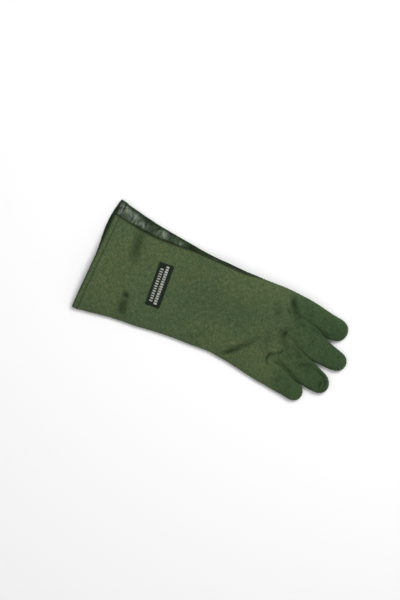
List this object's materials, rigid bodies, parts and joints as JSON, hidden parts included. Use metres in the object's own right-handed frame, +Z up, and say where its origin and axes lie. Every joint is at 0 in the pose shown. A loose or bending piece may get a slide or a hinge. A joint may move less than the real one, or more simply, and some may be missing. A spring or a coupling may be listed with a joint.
{
  "type": "flight glove",
  "caption": "Long-cuffed work glove with a green fabric back and a black leather palm, lying flat on its palm with the thumb tucked under the hand.",
  "frame": {"origin": "middle of the box of the glove, on the surface that it lies on", "axes": "+X from the cuff to the fingertips, +Y towards the index finger, +Z up, out of the back of the hand"},
  "size_m": [0.3604, 0.1536, 0.0237],
  "materials": {
    "fabric": "matt olive-green knit",
    "leather": "satin black-green leather with creases",
    "label": "matt black woven patch"
  },
  "bodies": {
    "root": {"back_panel": "fabric", "palm_panel": "leather", "thumb_back": "fabric", "thumb_front": "leather", "label": "label", "gusset_index_middle": "fabric", "gusset_middle_ring": "fabric", "gusset_ring_little": "fabric"}
  },
  "joints": []
}
